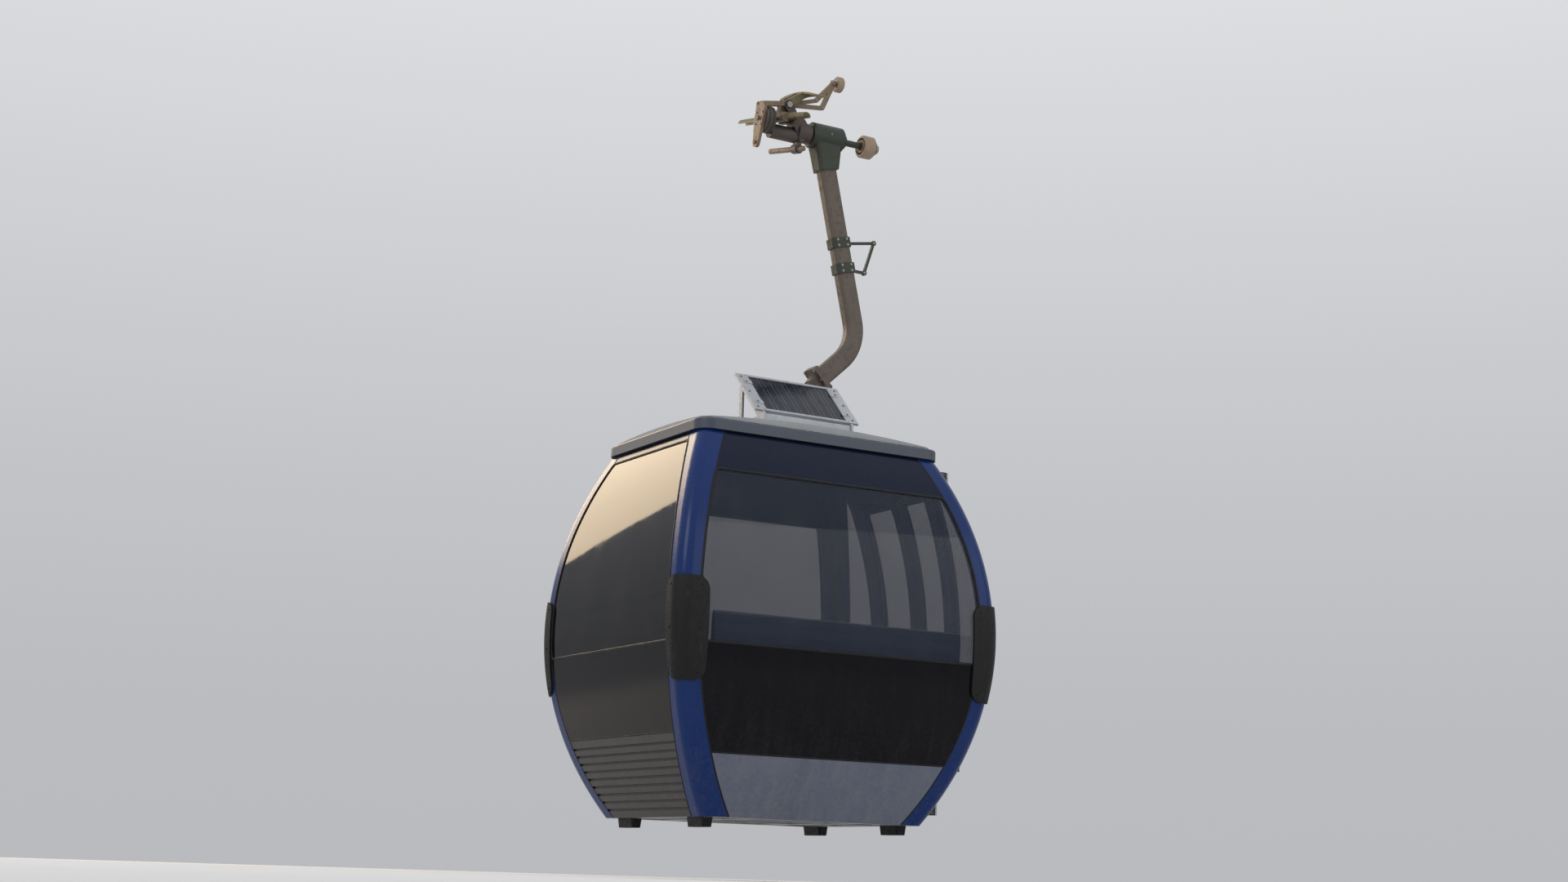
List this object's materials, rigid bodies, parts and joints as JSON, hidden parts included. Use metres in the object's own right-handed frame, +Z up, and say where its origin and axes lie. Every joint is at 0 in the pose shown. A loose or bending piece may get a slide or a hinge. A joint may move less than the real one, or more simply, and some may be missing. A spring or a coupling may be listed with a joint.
{
  "type": "cable car cabin",
  "caption": "Closed gondola cabin with barrel-shaped glazed sides, sliding double door, cranked hanger arm and detachable rope grip.",
  "frame": {"origin": "on the rope's axis, in the middle of the grip's jaws", "axes": "+Z up and along the part's longest extent, +X level along the rope towards its lower side, +Y outwards to the hanger arm and the doors"},
  "size_m": [1.748, 2.2145, 4.577],
  "materials": {
    "post_paint": "gloss blue lacquer",
    "header_paint": "gloss dark navy lacquer",
    "dark_panel": "gloss near-black sheet",
    "skirt_paint": "satin light blue-grey lacquer",
    "ribbed_metal": "satin dark ribbed sheet",
    "tinted_glass": "dark tinted acrylic glazing",
    "bumper_rubber": "matt black rubber",
    "roof_metal": "weathered aluminium",
    "roof_skin": "weathered grey moulding",
    "frame_metal": "mill finish aluminium",
    "floor_sheet": "studded dark floor covering",
    "bench_shell": "grained grey moulding",
    "seat_cloth": "dark woven seat cloth",
    "hanger_steel": "weathered grey-brown coat on steel",
    "head_steel": "dark grey-green coat on cast steel",
    "grip_steel": "brownish forged steel",
    "plate_steel": "olive painted steel",
    "bright_steel": "bare turned steel",
    "roller_tyre": "worn tan polyurethane",
    "solar_glass": "dark blue cells under glass",
    "rack_plastic": "black moulded plastic"
  },
  "bodies": {
    "cabin": {"corner_posts": "post_paint", "bumpers": "bumper_rubber", "end_skirts": "skirt_paint", "end_panels": "dark_panel", "end_windows": "tinted_glass", "end_headers": "header_paint", "ribbed_skirt": "ribbed_metal", "side_panel": "dark_panel", "side_window": "tinted_glass", "side_header": "header_paint", "door_portal": "post_paint", "door_side_panels": "dark_panel", "door_side_windows": "tinted_glass", "roof_rim": "roof_metal", "roof_shell": "roof_skin", "floor_frame": "frame_metal", "floor_plate": "floor_sheet", "feet": "bumper_rubber", "benches": "bench_shell", "seat_pads": "seat_cloth", "back_pads": "seat_cloth", "hand_rail": "bright_steel", "door_rails": "frame_metal", "roof_frame": "frame_metal", "rubber_buffers": "bumper_rubber", "hanger_fork": "hanger_steel", "hanger_arm": "hanger_steel", "hanger_head": "head_steel", "door_lever": "head_steel", "solar_frame": "roof_metal", "solar_cells": "solar_glass", "solar_brackets": "roof_metal"},
    "door_right": {"door_leaf_right": "post_paint", "door_pane_right": "tinted_glass", "ski_rack_right": "rack_plastic"},
    "door_left": {"door_leaf_left": "post_paint", "door_pane_left": "tinted_glass", "ski_rack_left": "rack_plastic"},
    "grip": {"grip_body": "grip_steel", "hinge_pin": "bright_steel", "spring_cup": "grip_steel", "spring_plate": "grip_steel", "friction_plate": "plate_steel", "rope_tongues": "plate_steel", "guide_bar": "grip_steel", "hanger_axle": "bright_steel"},
    "jaw": {"moving_jaw": "grip_steel"},
    "lever_wheel": {"lever_roller": "roller_tyre"},
    "running_wheel": {"running_roller": "roller_tyre"}
  },
  "joints": [
    {"name": "hanger_pivot", "type": "hinge", "parent": "grip", "child": "cabin", "pos_m": [-0.01237, 0.3, -0.05359], "axis": [0, 1, 0], "range_deg": [-32, 58]},
    {"name": "door_right_slide", "type": "slide", "parent": "cabin", "child": "door_right", "axis": [1, 0, 0], "range_m": [0, 0.372]},
    {"name": "door_left_slide", "type": "slide", "parent": "cabin", "child": "door_left", "axis": [1, 0, 0], "range_m": [-0.372, 0]},
    {"name": "running_roller_turn", "type": "hinge", "parent": "grip", "child": "running_wheel", "pos_m": [-0.01237, 0.6, -0.05359], "axis": [0, 1, 0], "continuous": true},
    {"name": "jaw_lever", "type": "hinge", "parent": "grip", "child": "jaw", "pos_m": [0.02025, -0.006, 0.08769], "axis": [-0.9744, 0, 0.225], "range_deg": [0, 12], "stiffness_Nm_per_rad": 400, "springref_deg": -17.19},
    {"name": "lever_roller_turn", "type": "hinge", "parent": "jaw", "child": "lever_wheel", "pos_m": [0.06389, 0.3435, 0.27672], "axis": [0, 1, 0], "continuous": true}
  ],
  "couplings": [
    {"joint": "door_left_slide", "follows": "door_right_slide", "ratio": -1}
  ]
}
